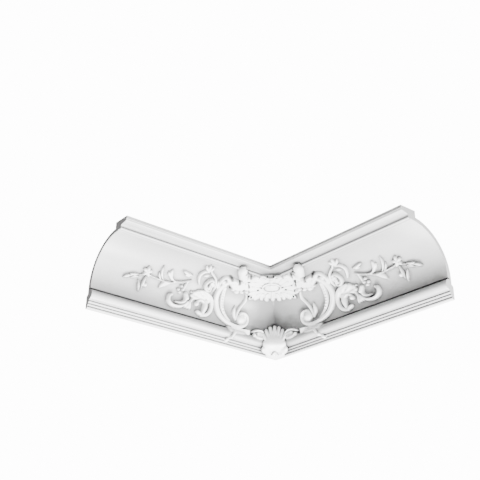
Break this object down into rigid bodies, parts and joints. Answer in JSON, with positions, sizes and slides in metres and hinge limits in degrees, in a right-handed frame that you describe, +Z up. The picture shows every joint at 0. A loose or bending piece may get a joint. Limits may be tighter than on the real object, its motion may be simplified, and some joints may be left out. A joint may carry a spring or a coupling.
{
  "type": "cornice moulding corner",
  "caption": "Inside corner piece of a carved cove cornice: mitred arms with scrolls, leaves and a shell, for the join of walls and ceiling.",
  "frame": {"origin": "under the middle of the bounding box, on the plane that the foot rests on", "axes": "+Z up to the ceiling, +Y towards the room corner behind the piece, +X to the right seen from the room; the arms run at 45 degrees either side of -Y"},
  "size_m": [0.8486, 0.5374, 0.186],
  "materials": {
    "white_casting": "satin white primed rigid polyurethane"
  },
  "bodies": {
    "root": {"cornice_corner": "white_casting"}
  },
  "joints": []
}
